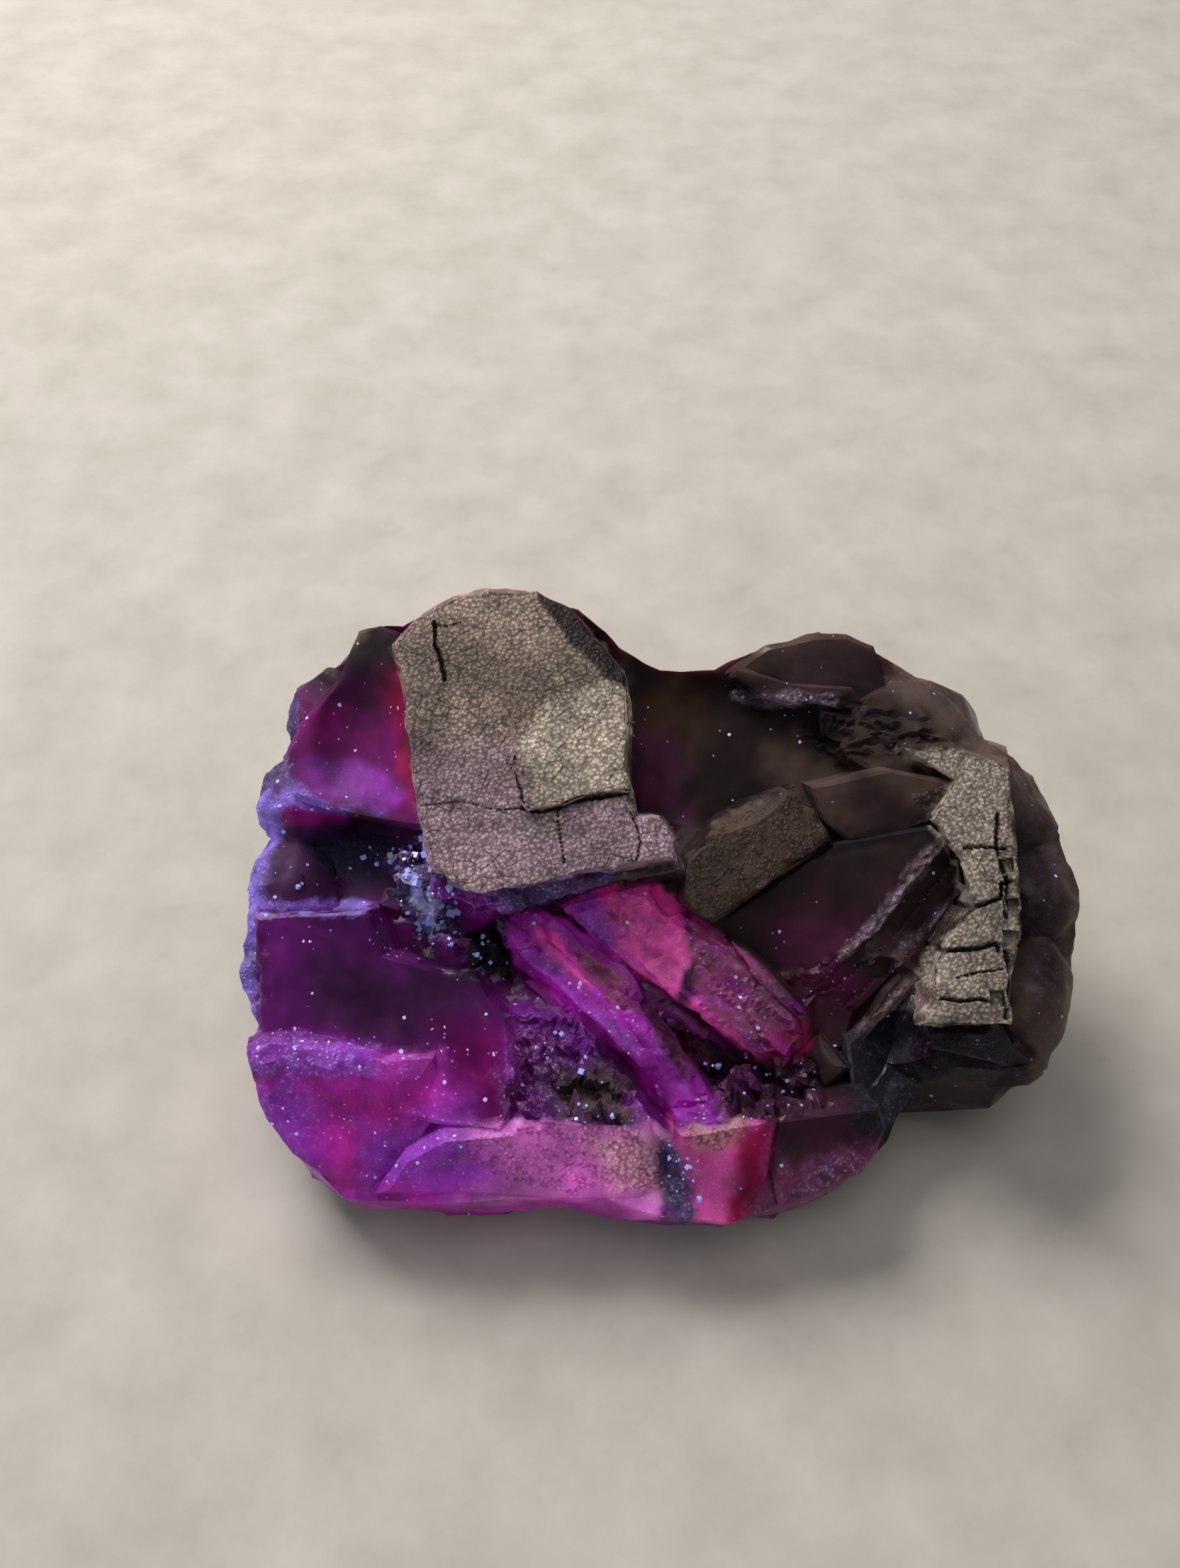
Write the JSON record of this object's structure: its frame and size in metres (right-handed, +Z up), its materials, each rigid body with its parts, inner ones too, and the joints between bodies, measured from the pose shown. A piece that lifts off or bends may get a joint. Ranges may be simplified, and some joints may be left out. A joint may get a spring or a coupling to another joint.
{
  "type": "fluorite mineral specimen",
  "caption": "Rough fluorite hand specimen: intergrown blocky crystals, broken open at the front, with flat crusted faces, hollows and a flat underside.",
  "frame": {"origin": "under the middle of the specimen's bounding box, in the plane it rests on", "axes": "+X to the right along the longest side, +Y to the back, +Z up; the broken crystal side leans back, facing up and towards -Y"},
  "size_m": [0.0758, 0.0526, 0.0336],
  "materials": {
    "fluorite": "broken crystal, glossy on cleavage faces and granular where crusted"
  },
  "bodies": {
    "root": {"fluorite_specimen": "fluorite"}
  },
  "joints": []
}
